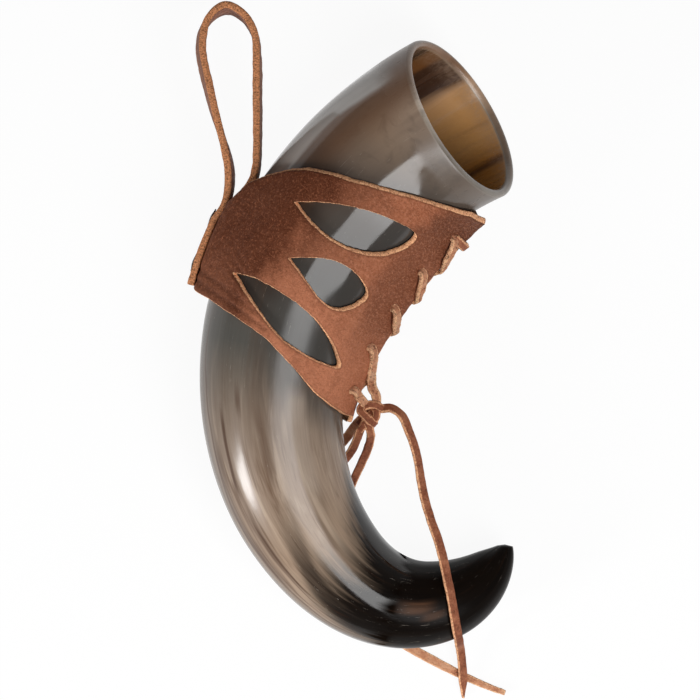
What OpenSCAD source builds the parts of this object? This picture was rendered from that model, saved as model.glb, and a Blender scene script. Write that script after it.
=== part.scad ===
// Drinking horn lying on its side in a laced leather holder with a belt loop.
// Lengths are in millimetres and angles in degrees. The horn's axis is a plane curve that starts at
// the mouth, so a place on the horn is given by s, the distance from the mouth along that axis, and
// by phi, the angle round the axis from the inside of the bend (0) over the top (90) to the back (180).

/* [Horn] */
// Length of the horn along its axis
horn_len = 315.5; // [290:0.5:340]
// Outer diameter at the mouth
mouth_d = 74.4; // [70:0.2:80]
// Outer diameter half way along the axis
middle_d = 59.4; // [56:0.2:63]
// Outer diameter three quarters of the way along the axis
tail_d = 44.2; // [41:0.2:48]
// Length of the rounded tip
tip_len = 41; // [32:1:50]
// Length of the point that the tip's blunt end falls short of
tip_cut = 2.5; // [1.5:0.5:5]
// Wall thickness at the rim
rim_wall = 3.5; // [2.5:0.1:5]
// Wall thickness at the bottom of the bore
deep_wall = 6.5; // [5:0.5:9]
// Depth of the bore along the axis
bore_len = 228; // [190:1:250]
// Height by which the mouth end of the axis lifts
mouth_rise = 4.2; // [2:0.1:6]

/* [Wrap] */
// Thickness of the wrap's leather
wrap_t = 2.2; // [1.8:0.1:3]
// Clearance between the horn and what is round it
horn_gap = 0.6; // [0.5:0.05:0.8]
// Distance of the wrap's top corner at the seam from the mouth
seam_top = 13; // [10:0.5:18]
// Distance of the wrap's bottom corner at the seam from the mouth
seam_bottom = 160.5; // [148:0.5:170]
// Distance of the wrap's top edge at the back from the mouth
back_top = 84.5; // [78:0.5:92]
// Distance of the wrap's bottom edge at the back from the mouth
back_bottom = 114.5; // [108:0.5:126]
// Stand-off of the seam from the horn at its top end
seam_off_top = 6.5; // [5:0.5:9]
// Stand-off of the seam from the horn at its middle
seam_off_middle = 12.5; // [9:0.5:15]
// Stand-off of the seam from the horn at its bottom end
seam_off_bottom = 4.6; // [4:0.2:8]

/* [Strap] */
// Width of the strap
strap_w = 20; // [16:1:24]
// Thickness of the strap
strap_t = 3; // [2.5:0.1:3.6]
// Height of the belt loop above its roots
loop_h = 79.5; // [60:0.5:95]

/* [Rivets] */
// Diameter of a rivet's head and cap
rivet_head_d = 8; // [6:0.5:10]
// Thickness of a rivet's head and cap
rivet_head_t = 0.8; // [0.6:0.1:1.2]
// Diameter of a rivet's post
rivet_post_d = 3; // [2.4:0.1:4]

/* [Lace] */
// Width of the lace
lace_w = 3.6; // [3:0.1:4]
// Thickness of the lace
lace_t = 1.8; // [1.4:0.1:2]
// Number of lace holes a side
hole_count = 5; // [3:1:6]
// Distance of the first hole from the mouth
hole_first = 34.5; // [30:0.5:38]
// Distance between holes along the axis
hole_pitch = 27.4; // [24:0.2:28]
// Distance of the holes from the seam edge, along the leather
hole_inset = 10; // [8:0.5:11]

/* [Hidden] */

horn_color = "dimgray";
leather_color = "saddlebrown";
lace_color = "peru";
rivet_color = "darkslategray";

// Small gap that keeps touching pieces apart
touch = 0.1;
// Gap between a piece that moves and its neighbour
run = 0.4;

// Bend of the axis, in degrees for each millimetre: near the mouth, half way and in the tail
bend_mouth = 0.336;
bend_middle = 0.59;
bend_tail = 1.42;
// Shares of the length between which the bend tightens
tighten_from = 0.68;
tighten_to = 0.825;
// Place of the mouth's centre and heading of the axis there
mouth_at = [45.97, 86.82];
mouth_heading = 206.4;
// The mouth is cut a little aslant: tilt towards the top and turn in plan, over the first stretch
cut_tilt = 13;
cut_turn = 3.2;
cut_len = 60;
rise_len = 40;
// Height of the horn's underside above the surface that it lies on
ride = wrap_t + horn_gap;
// Roundness of the tip: 0.5 is an ellipse, 1 is a sharp cone
tip_power = 0.55;
// Part of the bore's depth that is its rounded bottom, and the part of that which is left flat
bore_round = 24;
bore_flat = 0.3;

// Counts of rings and sides
axis_n = 240;
horn_sides = 36;
outer_rings = 44;
bore_rings = 22;
wrap_rows = 16;
loop_step = 5;
knot_rings = 42;
curve_n = 4;
strand_n = 5;
round_n = 4;
rivet_sides = 12;
// Rings crowd towards the tip and the bottom of the bore by this power
ring_crowding = 1.35;
// Angle between the rings of the rounded rim
lip_step = 30;

function unit(v) = v / norm(v);
function share(x, a, b) = min(1, max(0, (x - a) / (b - a)));
function smooth(t) = t * t * (3 - 2 * t);
function flat3(p, z) = [p.x, p.y, z];
// Parabola through a at 0, b at a half and c at 1
function three(a, b, c, v) = a * (2 * v - 1) * (v - 1) + 4 * b * v * (1 - v) + c * v * (2 * v - 1);
// Smooth curve through points, with n steps between neighbours
function curve_point(p, i, t) =
    let (a = p[max(0, i - 1)], b = p[i], c = p[i + 1], d = p[min(len(p) - 1, i + 2)])
    b + 0.5 * t * (c - a + t * (2 * a - 5 * b + 4 * c - d + t * (3 * (b - c) + d - a)));
function curve(p, n) = [
    for (k = [0 : n * (len(p) - 1)])
        let (i = min(floor(k / n), len(p) - 2))
        curve_point(p, i, k / n - i)
];

// Axis of the horn in plan
function bend_at(u) =
    let (t = smooth(share(u, tighten_from, tighten_to)))
    (bend_mouth + (bend_middle - bend_mouth) * min(1, u / tighten_from)) * (1 - t) + bend_tail * t;
step = horn_len / axis_n;
headings = [
    for (i = 0, h = mouth_heading; i <= axis_n; h = h + step * bend_at((i + 0.5) / axis_n), i = i + 1) h
];
places = [
    for (i = 0, p = mouth_at; i <= axis_n;
        p = p + step * [cos(headings[i] + 0.5 * step * bend_at(i / axis_n)),
            sin(headings[i] + 0.5 * step * bend_at(i / axis_n))], i = i + 1) p
];
function along(list, s) =
    let (i = min(axis_n - 1, max(0, floor(s / step))))
    list[i] + (s / step - i) * (list[i + 1] - list[i]);

// Outer radius from the three diameters, wall and height of the axis
function body_r(s) =
    let (u = s / horn_len, h = 1 / 2, q = 3 / 4)
    mouth_d / 2 * (u - h) * (u - q) / (h * q)
    + middle_d / 2 * u * (u - q) / (h * (h - q))
    + tail_d / 2 * u * (u - h) / (q * (q - h));
function girth(s) = body_r(s) * pow(1 - pow(share(s, horn_len - tip_len, horn_len), 2), tip_power);
function wall_at(s) = rim_wall + (deep_wall - rim_wall) * pow(s / bore_len, 2);
function bore_r(s) =
    (body_r(s) - wall_at(s)) * sqrt(1 - pow(share(s, bore_len - bore_round, bore_len), 2));
function ease(s, l) = pow(max(0, 1 - s / l), 2);
function centre(s) = flat3(along(places, s), body_r(s) + ride + mouth_rise * ease(s, rise_len));

// Frame of the ring at s: in_dir points to the inside of the bend, up_dir to the top
function ring_heading(s) = along(headings, s) + cut_turn * ease(s, cut_len);
function lean(s) = atan(2 * mouth_rise / rise_len * max(0, 1 - s / rise_len)) + cut_tilt * ease(s, cut_len);
function in_dir(s) = [-sin(ring_heading(s)), cos(ring_heading(s)), 0];
function up_dir(s) =
    let (h = ring_heading(s), l = lean(s))
    [cos(h) * sin(l), sin(h) * sin(l), cos(l)];
function on_ring(s, phi, rho) = centre(s) + rho * (cos(phi) * in_dir(s) + sin(phi) * up_dir(s));
function ring(s, rho) = [for (k = [0 : horn_sides - 1]) on_ring(s, -360 * k / horn_sides, rho)];

// Skin over equal rings. Ends are closed, or the last ring joins the first when the skin is a loop.
function skin_sides(m, n, loop) = [
    for (i = [0 : m - (loop ? 1 : 2)], k = [0 : n - 1], half = [0, 1])
        let (j = (i + 1) % m, next = (k + 1) % n,
            a = i * n + k, b = i * n + next, c = j * n + k, d = j * n + next)
        half == 0 ? [a, c, b] : [b, c, d]
];
function skin_cap(at, n, turned) = [
    for (k = [0 : n / 2 - 2], half = [0, 1])
        let (a = at + k, b = at + k + 1, c = at + n - 1 - k, d = at + n - 2 - k,
            f = half == 0 ? [a, b, c] : [b, d, c])
        turned ? [f[0], f[2], f[1]] : f
];
module skin(rings, loop = false) {
    m = len(rings);
    n = len(rings[0]);
    caps = loop ? [] : concat(skin_cap(0, n, false), skin_cap((m - 1) * n, n, true));
    polyhedron([for (r = rings, p = r) p], concat(skin_sides(m, n, loop), caps));
}

// Flat strip along a path, with chamfered corners. across lists the width direction at each point, and
// sizes the width and the thickness.
chamfer_share = 0.3;
function strip_ring(p, across, out, w, t) =
    let (c = min(w, t) * chamfer_share)
    [
        for (q = [
            [w / 2, c - t / 2], [w / 2, t / 2 - c], [w / 2 - c, t / 2], [c - w / 2, t / 2],
            [-w / 2, t / 2 - c], [-w / 2, c - t / 2], [c - w / 2, -t / 2], [w / 2 - c, -t / 2]
        ]) p + q.x * across + q.y * out
    ];
function out_dir(path, across, i) =
    let (last = len(path) - 1, a = unit(path[min(i + 1, last)] - path[min(i, last - 1)]),
        b = unit(path[max(i, 1)] - path[max(i - 1, 0)]), m = unit(cross(a + b, across[i])),
        miter = max(0.5, norm(a + b) / 2))
    m / miter;
module strip(path, across, sizes) {
    skin([
        for (i = [0 : len(path) - 1])
            strip_ring(path[i], across[i], out_dir(path, across, i), sizes[i][0], sizes[i][1])
    ]);
}

// Wrap: section round the horn in polar form, lay is the height above the wrap's inner face
function seam_share(s) = (s - seam_top) / (seam_bottom - seam_top);
function seam_d(s) = body_r(s) + three(seam_off_top, seam_off_middle, seam_off_bottom, seam_share(s));
// The wrap stands off more towards the mouth, where the axis lifts, so that the horn can be drawn out
lift_gap = 3.4;
function wrap_gap(s) = horn_gap + lift_gap * ease(s, rise_len);
function wrap_r(s) = body_r(s) + wrap_gap(s) + wrap_t;
function seam_angle(s) = acos(min(1, wrap_r(s) / seam_d(s)));
// Layers at the back, out from the horn: rivet cap, inner leg, wrap, outer leg, rivet head
inner_leg_off = horn_gap + rivet_head_t + touch + strap_t / 2;
back_off = horn_gap + rivet_head_t + touch + strap_t + touch;
outer_leg_off = back_off + wrap_t + touch + strap_t / 2;
back_slope = 48;
function wrap_rho(s, phi, lay) =
    let (a = abs(phi), psi = 180 - a, r = body_r(s) + wrap_gap(s) + lay, alpha = seam_angle(s))
    a < alpha ? r / cos(alpha - a)
    : psi < back_slope ? min((body_r(s) + back_off + lay) / cos(psi), r / cos(back_slope - psi)) : r;
// Edges of the wrap on each side: angle from the seam, and share of the way from the edge's end at the seam to
// its end at the back. The top edge is straight under the strap
top_edge = [
    [0, 0], [22, 0.045], [38, 0.15], [53, 0.266], [69.5, 0.408], [81, 0.484], [97, 0.571], [114, 0.641],
    [125, 0.685], [136, 0.741], [148, 0.82], [157, 0.89], [162, 1], [180, 1]
];
bottom_edge = [
    [0, 0], [20, 0.055], [39, 0.163], [57, 0.324], [70, 0.498], [84, 0.646], [96, 0.759], [109, 0.828],
    [125, 0.889], [144, 0.941], [165, 0.99], [180, 1]
];
function wrap_top(phi) = seam_top + (back_top - seam_top) * lookup(abs(phi), top_edge);
function wrap_bottom(phi) = seam_bottom + (back_bottom - seam_bottom) * lookup(abs(phi), bottom_edge);
// Half of the gap between the two edges at the seam, as an angle
seam_slit = 0.8;
wrap_columns = concat(
    [seam_slit, 4, 8, 13, 18, 23, 28, 34, 41],
    [for (a = [50 : 10 : 120]) a],
    [for (a = [128 : 8 : 144]) a],
    [151, 157, 162, 164.5, 172]
);
wrap_angles = concat(
    [for (a = wrap_columns) -a],
    [180],
    [for (i = [len(wrap_columns) - 1 : -1 : 0]) wrap_columns[i]]
);
function wrap_strip(phi) = [
    for (lay = [wrap_t, 0], i = [0 : wrap_rows])
        let (v = (lay > 0 ? i : wrap_rows - i) / wrap_rows,
            s = wrap_top(phi) * (1 - v) + wrap_bottom(phi) * v)
        on_ring(s, phi, wrap_rho(s, phi, lay))
];

// Windows in the wrap: points along the horn and across it, from the pointed end round and back to it
window_upper = [
    [73.5, -17], [67.5, -8], [60.5, 4], [53.5, 18], [49.5, 29], [56.5, 31], [68.5, 26], [75.5, 16],
    [77.5, 5], [76.5, -6], [73.5, -17]
];
window_middle = [
    [92.5, -7], [86.5, 4], [83.5, 13], [84.5, 22], [89.5, 29], [96.5, 28], [103.5, 22], [103.5, 14],
    [98.5, 5], [92.5, -7]
];
window_lower = [
    [105.5, -26], [104.5, -16], [106.5, -1], [111.5, 13], [120.5, 23], [131.5, 28], [131.5, 21], [128.5, 12],
    [123.5, 1], [114.5, -12], [105.5, -26]
];
windows = [window_upper, window_middle, window_lower];
// Height of a window's cutter, which passes through both sides of the wrap
window_cut = 3 * mouth_d;
function in_plan(q) =
    let (h = along(headings, q.x))
    along(places, q.x) + q.y * [-sin(h), cos(h)];

// Places on the sloping panels beside the seam: e from the seam edge and h above the leather, on side 1,
// the upper panel, or side -1, the lower one
function panel(s, e, h, side) =
    let (a = seam_angle(s), x = seam_d(s) - e * sin(a) + h * cos(a), z = e * cos(a) + h * sin(a))
    centre(s) + x * in_dir(s) + side * z * up_dir(s);
function panel_out(s, side) = cos(seam_angle(s)) * in_dir(s) + side * sin(seam_angle(s)) * up_dir(s);
hole_d = lace_w + 1;
hole_reach = 2;
hole_sides = 8;
function hole_s(i) = hole_first + hole_pitch * i;
module lace_hole(s, side) {
    out = panel_out(s, side);
    across = cross(out, in_dir(s));
    turn = cross(out, unit(across));
    skin([
        for (h = [-wrap_t - hole_reach, hole_reach])
            [
                for (k = [0 : hole_sides - 1])
                    let (g = 360 * (k + 0.5) / hole_sides)
                    panel(s, hole_inset, h, side) + hole_d / 2 * (cos(g) * unit(across) + sin(g) * turn)
            ]
    ]);
}

// Strap: the two legs lie on the horn's back, and the loop joins their upper ends
leg_bottom = back_bottom - 1;
outer_leg_top = back_top - 1;
inner_leg_top = back_top - 4;
leg_n = 9;
// Corners cut off the strap's two ends
strap_corner = 2;
up = [0, 0, 1];
function on_back(s, off) = on_ring(s, 180, body_r(s) + off);
// Direction square to the tapering back, as an angle in plan
function back_turn(s) =
    let (d = on_back(s + 1, back_off) - on_back(s - 1, back_off))
    atan2(d.y, d.x) - 90;
function leg_path(top, off) = [
    for (i = [0 : leg_n]) on_back(leg_bottom + (top - leg_bottom) * i / leg_n, off)
];
// Left root of the loop is the centre of its rounded end, which turns against the outer leg
leg_end = leg_path(outer_leg_top, outer_leg_off);
loop_root = leg_end[leg_n] + unit(leg_end[leg_n] - leg_end[leg_n - 1]) * (strap_t / 2 + run);
loop_end_s = back_top - 8;
loop_end = on_back(loop_end_s, inner_leg_off);
// Shape of the loop above its left root, as shares of its height, and of its right leg above its right root
loop_left = [[0, 0], [-0.02, 0.13], [-0.1, 0.36], [-0.185, 0.61], [-0.185, 0.83]];
loop_crown = [[-0.03, 0.995], [0.1, 0.9]];
loop_right = [[0.01, 0.69], [0.02, 0.4], [0.015, 0.13], [0, 0]];
loop_plan = curve(concat(
    [for (q = loop_left) [loop_root.x, loop_root.y] + loop_h * q],
    [for (q = loop_crown) [loop_root.x, loop_root.y] + loop_h * q],
    [for (q = loop_right) [loop_end.x, loop_end.y] + loop_h * q]
), loop_step);
loop_path = [for (p = loop_plan) flat3(p, loop_root.z)];
// Points and thicknesses of the rounded end, whose first face is a narrow flat
root_flat = 0.25;
root_dir = unit(loop_path[1] - loop_path[0]);
root_end = [
    for (k = [0 : round_n - 1])
        let (g = 90 * k / round_n)
        [loop_path[0] - root_dir * strap_t / 2 * cos(g), strap_t * max(root_flat, sin(g))]
];
rivet_at = [back_top + 7, back_bottom - 8];
head_off = outer_leg_off + strap_t / 2 + touch;

// Lace: route points of the knot, the half bow and the two free ends
knot_s = seam_bottom + 1;
knot_off = 6.92;
knot_d = seam_d(seam_bottom) + knot_off;
knot_r = 1.75;
knot_h = 1.9;
knot_lace_r = 1.1;
knot_sides = 6;
knot_at = centre(knot_s) + knot_d * in_dir(knot_s);
function knot_path(t) =
    knot_at + [knot_r * (sin(t) + 2 * sin(2 * t)), knot_r * (cos(t) - 2 * cos(2 * t)), -knot_h * sin(3 * t)];
bow_route = [
    [3.4, -43.4, 31], [2.3, -47, 26], [0.3, -52, 18], [-2.6, -56.5, 10], [-5.9, -60, 5], [-9.5, -63.5, 2],
    [-11.3, -68, 1], [-9.5, -72.5, 1], [-5.5, -74, 1.2], [-1.7, -71, 2.8], [0.8, -65.5, 6.5], [3.7, -59, 13],
    [6.3, -53, 20], [7.5, -48.8, 25], [7.9, -45.8, 29]
];
front_route = [
    [12.3, -34.8, 34.7], [16.6, -34.7, 37.2], [21, -38, 38.6], [23.6, -44, 38.8], [25.9, -50.2, 38.4],
    [27.5, -56.8, 37.8], [28.7, -64.3, 37.3], [30.4, -72.8, 37], [32.9, -81.3, 37.2], [35.9, -89.8, 37.7],
    [38.1, -98, 38.3], [39.7, -105.5, 38.6], [41, -111.5, 38.6], [42, -117.2, 38.2], [43.1, -123.3, 37.1],
    [44.1, -128.8, 33.8], [44.8, -132, 30.1], [45.2, -134.2, 25.8], [45.5, -135.3, 19.3], [45.8, -136.2, 13],
    [46.3, -138.6, 7.8], [46.9, -142.6, 4.9], [47.4, -148, 3.8], [47.6, -153.4, 2.9], [47.7, -159.5, 1]
];
back_route = [
    [3.7, -39.5, 27], [1.6, -42, 21], [-0.9, -45.5, 14], [-4.1, -49.5, 8], [-8.5, -53, 4], [-13.1, -57, 2],
    [-16.9, -63, 1.1], [-18.5, -71, 1], [-16.9, -83.5, 1], [-12.7, -97, 1], [-5.9, -110, 1], [3.3, -122, 1],
    [14.1, -131.5, 1], [25.8, -138.7, 1], [34.4, -143.4, 1], [41.2, -147, 1], [48.5, -150.6, 1],
    [57.1, -154.4, 1], [65.7, -157.6, 1]
];
function route_across(p) = [
    for (i = [0 : len(p) - 1])
        let (t = p[min(i + 1, len(p) - 1)] - p[max(i - 1, 0)])
        unit(cross(up, t))
];
// Share of the width that is left at a pointed end
point_share = 0.3;
function lace_sizes(n, point) = [
    for (i = [0 : n - 1]) [i == n - 1 && point ? lace_w * point_share : lace_w, lace_t]
];
// Strands: length along the horn of each and of the last, distance of their ends from the seam edge, height
// of the lace's middle above the leather and depth of the end that turns in through the hole
strand_run = 19.5;
last_run = 10;
strand_end = 2.4;
lace_lift = lace_t / 2 + 0.5;
stub_depth = wrap_t + 0.2;
// Bar over the seam: its distance above the first hole and how far it reaches down each side
bar_lead = 2;
bar_reach = 4;

// Share of the way, with points crowded towards its end
function crowd(v) = 1 - pow(1 - v, ring_crowding);

module horn() {
    rim = rim_wall / 2;
    outer = [
        for (i = [0 : outer_rings])
            let (s = rim + (horn_len - tip_cut - rim) * crowd(1 - i / outer_rings))
            ring(s, girth(s))
    ];
    // Rounded rim from the outer face over to the bore
    lip = [
        for (g = [lip_step : lip_step : 180 - lip_step])
            ring(rim - rim * sin(g), body_r(rim) - rim + rim * cos(g))
    ];
    bore = [
        for (i = [0 : bore_rings])
            let (s = rim + (bore_len - bore_flat - rim) * crowd(i / bore_rings))
            ring(s, bore_r(s))
    ];
    color(horn_color) skin(concat(outer, lip, bore));
}

module leather_wrap() {
    color(leather_color) difference() {
        skin([for (phi = wrap_angles) wrap_strip(phi)]);
        for (w = windows) {
            linear_extrude(window_cut, center = true)
                polygon([for (q = curve(w, curve_n)) in_plan(q)]);
        }
        for (side = [1, -1], i = [0 : hole_count - 1]) {
            lace_hole(hole_s(i), side);
        }
        rivet_holes(inner_leg_off, outer_leg_off);
    }
}

// Round bar square to the horn's back at s, between two heights above the horn
module rivet_bar(s, from, to, d) {
    translate(on_back(s, 0))
        rotate([0, 90, back_turn(s)])
            translate([0, 0, from])
                cylinder(h = to - from, d = d, $fn = rivet_sides);
}

module rivet_holes(from, to) {
    for (s = rivet_at) {
        rivet_bar(s, from, to, rivet_post_d + 2 * touch);
    }
}

module strap_leg(top, off, from, to) {
    path = leg_path(top, off);
    widths = [for (i = [0 : leg_n]) i == 0 ? strap_w - 2 * strap_corner : strap_w];
    color(leather_color) difference() {
        strip(path, [for (p = path) up], [for (w = widths) [w, strap_t]]);
        rivet_holes(from, to);
    }
}

module strap_outer_leg() { strap_leg(outer_leg_top, outer_leg_off, back_off, outer_leg_off + strap_t); }

module strap_inner_leg() { strap_leg(inner_leg_top, inner_leg_off, 0, back_off); }

module belt_loop() {
    path = concat([for (e = root_end) e[0]], loop_path);
    thicknesses = concat([for (e = root_end) e[1]], [for (p = loop_path) strap_t]);
    color(leather_color) strip(path, [for (p = path) up], [for (t = thicknesses) [strap_w, t]]);
}

module rivet_posts() {
    color(rivet_color) for (s = rivet_at) {
        rivet_bar(s, horn_gap + rivet_head_t, head_off + rivet_head_t / 2, rivet_post_d);
        rivet_bar(s, head_off, head_off + rivet_head_t, rivet_head_d);
    }
}

module rivet_caps() {
    color(rivet_color) for (s = rivet_at) {
        rivet_bar(s, horn_gap, horn_gap + rivet_head_t, rivet_head_d);
    }
}

// Strand out of a hole and down to the seam on one side
module lace_strand(s, run_len, side) {
    slant = [
        for (k = [0 : strand_n])
            let (v = k / strand_n)
            panel(s + run_len * v, hole_inset + (strand_end - hole_inset) * v, lace_lift, side)
    ];
    path = concat([panel(s, hole_inset, -stub_depth, side)], slant);
    across = [
        for (k = [0 : len(path) - 1])
            let (t = k < 2 ? slant[1] - slant[0] : path[k] - path[k - 1])
            unit(cross(panel_out(s + run_len * max(0, k - 1) / strand_n, side), t))
    ];
    strip(path, across, lace_sizes(len(path), false));
}

module lacing(side) {
    color(lace_color) for (i = [0 : hole_count - 1]) {
        lace_strand(hole_s(i), i < hole_count - 1 ? strand_run : last_run, side);
    }
}

module lacing_near() { lacing(1); }

module lacing_far() { lacing(-1); }

module lacing_bar() {
    s = hole_first - bar_lead;
    crest = centre(s) + (seam_d(s) + lace_lift / cos(seam_angle(s))) * in_dir(s);
    path = concat(
        [for (e = [bar_reach, bar_reach / 2]) panel(s, e, lace_lift, 1)],
        [crest],
        [for (e = [bar_reach / 2, bar_reach]) panel(s, e, lace_lift, -1)]
    );
    across = [for (p = path) cross(up_dir(s), in_dir(s))];
    color(lace_color) strip(path, across, lace_sizes(len(path), false));
}

module lace_knot() {
    color(lace_color) skin([
        for (i = [0 : knot_rings - 1])
            let (t = 360 * i / knot_rings, d = unit(knot_path(t + 1) - knot_path(t - 1)),
                a = unit(cross(d, up)), b = cross(a, d))
            [
                for (k = [0 : knot_sides - 1])
                    let (g = -360 * k / knot_sides)
                    knot_path(t) + knot_lace_r * (cos(g) * a + sin(g) * b)
            ]
    ], true);
}

module lace_run(route, point) {
    color(lace_color) strip(route, route_across(route), lace_sizes(len(route), point));
}

module bow_loop() { lace_run(bow_route, false); }

module lace_end_front() { lace_run(front_route, true); }

module lace_end_back() { lace_run(back_route, false); }

horn();
leather_wrap();
strap_outer_leg();
strap_inner_leg();
belt_loop();
rivet_posts();
rivet_caps();
lacing_bar();
lacing_near();
lacing_far();
lace_knot();
bow_loop();
lace_end_front();
lace_end_back();
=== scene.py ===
"""Looks of a drinking horn in its laced leather holder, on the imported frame.

Lengths are in millimetres, except those of the camera, floor and lamps, which are in metres."""

import bpy
import numpy as np
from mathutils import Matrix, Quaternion, Vector, noise
from mathutils.geometry import delaunay_2d_cdt
from mathutils.kdtree import KDTree


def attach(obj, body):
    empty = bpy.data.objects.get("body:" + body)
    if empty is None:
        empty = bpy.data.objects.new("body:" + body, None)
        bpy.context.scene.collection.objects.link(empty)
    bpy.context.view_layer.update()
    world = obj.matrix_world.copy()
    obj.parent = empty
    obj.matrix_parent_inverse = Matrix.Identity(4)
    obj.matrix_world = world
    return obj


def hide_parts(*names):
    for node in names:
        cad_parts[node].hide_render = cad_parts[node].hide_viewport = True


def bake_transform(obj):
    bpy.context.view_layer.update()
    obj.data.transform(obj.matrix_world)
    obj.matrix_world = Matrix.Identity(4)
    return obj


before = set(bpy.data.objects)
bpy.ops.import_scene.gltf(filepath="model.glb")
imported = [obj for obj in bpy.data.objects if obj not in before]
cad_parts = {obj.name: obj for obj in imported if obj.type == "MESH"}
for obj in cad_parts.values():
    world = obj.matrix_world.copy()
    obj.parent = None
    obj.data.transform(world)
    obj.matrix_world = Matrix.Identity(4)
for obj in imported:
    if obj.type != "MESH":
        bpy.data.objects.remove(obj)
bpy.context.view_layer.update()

MM = 0.001
UP = np.array([0, 0, 1])

# Sizes and places, as the solids have them
HORN_LEN = 315.5
MOUTH_D, MIDDLE_D, TAIL_D = 74.4, 59.4, 44.2
TIP_LEN, TIP_CUT, TIP_POWER = 41, 2.5, 0.55
RIM_WALL, DEEP_WALL, BORE_LEN, BORE_ROUND = 3.5, 6.5, 228, 24
MOUTH_RISE, RISE_LEN = 4.2, 40
CUT_TILT, CUT_TURN, CUT_LEN = 13, 3.2, 60
BEND_MOUTH, BEND_MIDDLE, BEND_TAIL = 0.336, 0.59, 1.42
TIGHTEN_FROM, TIGHTEN_TO = 0.68, 0.825
MOUTH_AT, MOUTH_HEADING = np.array([45.97, 86.82]), 206.4
WRAP_T, HORN_GAP, LIFT_GAP = 2.2, 0.6, 3.4
RIDE = WRAP_T + HORN_GAP
SEAM_TOP, SEAM_BOTTOM, BACK_TOP, BACK_BOTTOM = 13, 160.5, 84.5, 114.5
SEAM_OFFS = 6.5, 12.5, 4.6
BACK_OFF, INNER_LEG_OFF, OUTER_LEG_OFF, BACK_SLOPE = 4.6, 3.0, 8.4, 48
SLIT = 0.6
HOLE_FIRST, HOLE_PITCH, HOLE_INSET, HOLE_COUNT = 34.5, 27.4, 10, 5
STRAP_W, STRAP_T = 20, 3
LOOP_Z = 37.4
LOOP_ROUTE = (
    (-53.4, 49.8), (-51.5, 56.8), (-51.3, 64.6), (-52.6, 72.1), (-57.4, 88.7), (-60.8, 102), (-63.2, 114),
    (-62.6, 123), (-59, 129.5), (-52.6, 133), (-45.8, 129.8), (-41.2, 123), (-39.8, 114.5), (-39.6, 94),
    (-39.7, 72), (-40.6, 63.5), (-42.8, 58.5),
)
RIVET_AT, RIVET_HEAD_D, RIVET_HEAD_T = (91.5, 106.5), 8, 0.8
HEAD_OFF = OUTER_LEG_OFF + STRAP_T / 2 + 0.1
LACE_W, LACE_T = 3.6, 1.8
LACE_LIFT = LACE_T / 2 + 0.5

# Small sizes that the solids leave out
FLAT = 0.63  # of the wrap's flat cut, for each degree round the horn
HOLE_R, POST_R = 1.5, 1.5
FAR_DROP = 3.2  # how much lower the far side's edges are cut beside the seam
EDGE_FALL, EDGE_INSET, EDGE_BULGE = 0.4, 0.55, 0.25  # rounding of the wrap's cut edges
PITCH, CLEAR = 1.1, 0.75  # between the points inside the flat cut, and from them to its edges
END_BULGE = 0.15  # of a strip's ends
LEG_END, OUTER_TOP, INNER_TOP = 113.5, 92, 80  # of the strap's legs, along the horn
STRAP_TWIST = (0, 30, 52, 85, 110, 125, 160, 190, 215), (0, 0, -3, 6, 7, -3, 2, 1, 0)  # run, degrees
INTO_HOLE = HOLE_INSET + 0.4, -WRAP_T * 0.8  # a lace's end inside a hole: from the seam, above the leather
BY_HOLE = HOLE_INSET - 0.1, LACE_LIFT * 0.8  # and where it has come out of it
EVEN = (0, 1), (1, 1)  # a lace that keeps its width

# How far each cut edge of the wrap has gone from the seam to the back, at angles round the horn
TOP_EDGE = (
    (0, 0.055), (22, 0.07), (38, 0.15), (53, 0.266), (69.5, 0.408), (81, 0.484), (97, 0.571), (114, 0.641),
    (125, 0.685), (136, 0.741), (148, 0.82), (157, 0.89), (162, 1), (180, 1),
)
BOTTOM_EDGE = (
    (0, 0), (20, 0.055), (39, 0.163), (57, 0.324), (70, 0.498), (84, 0.646), (96, 0.759), (109, 0.828),
    (125, 0.889), (144, 0.941), (165, 0.99), (180, 1),
)

# Outlines of the windows on one side: distance from the mouth, and from the axis towards the seam
WINDOWS = (
    ((73.5, -17), (67.5, -8), (60.5, 4), (53.5, 18), (49.5, 29), (56.5, 31), (68.5, 26), (75.5, 16),
     (77.5, 5), (76.5, -6)),
    ((92.5, -7), (86.5, 4), (83.5, 13), (84.5, 22), (89.5, 29), (96.5, 28), (103.5, 22), (103.5, 14),
     (98.5, 5)),
    ((105.5, -26), (104.5, -16), (106.5, -1), (111.5, 13), (120.5, 23), (131.5, 28), (131.5, 21),
     (128.5, 12), (123.5, 1), (114.5, -12)),
)

# Routes of the lace's half bow and of its two free ends
BOW_ROUTE = (
    (3.4, -43.4, 31), (2.3, -47, 26), (0.3, -52, 18), (-2.6, -56.5, 10), (-5.9, -60, 5), (-9.5, -63.5, 2),
    (-11.3, -68, 1), (-9.5, -72.5, 1), (-5.5, -74, 1.2), (-1.7, -71, 2.8), (0.8, -65.5, 6.5), (3.7, -59, 13),
    (6.3, -53, 20), (7.5, -48.8, 25), (7.9, -45.8, 29),
)
FRONT_ROUTE = (
    (12.3, -34.8, 34.7), (16.6, -34.7, 37.2), (21, -38, 38.6), (23.6, -44, 38.8), (25.9, -50.2, 38.4),
    (27.5, -56.8, 37.8), (28.7, -64.3, 37.3), (30.4, -72.8, 37), (32.9, -81.3, 37.2), (35.9, -89.8, 37.7),
    (38.1, -98, 38.3), (39.7, -105.5, 38.6), (41, -111.5, 38.6), (42, -117.2, 38.2), (43.1, -123.3, 37.1),
    (44.1, -128.8, 33.8), (44.8, -132, 30.1), (45.2, -134.2, 25.8), (45.5, -135.3, 19.3), (45.8, -136.2, 13),
    (46.3, -138.6, 7.8), (46.9, -142.6, 4.9), (47.4, -148, 3.8), (47.6, -153.4, 2.9), (47.7, -159.5, 1),
)
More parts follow.
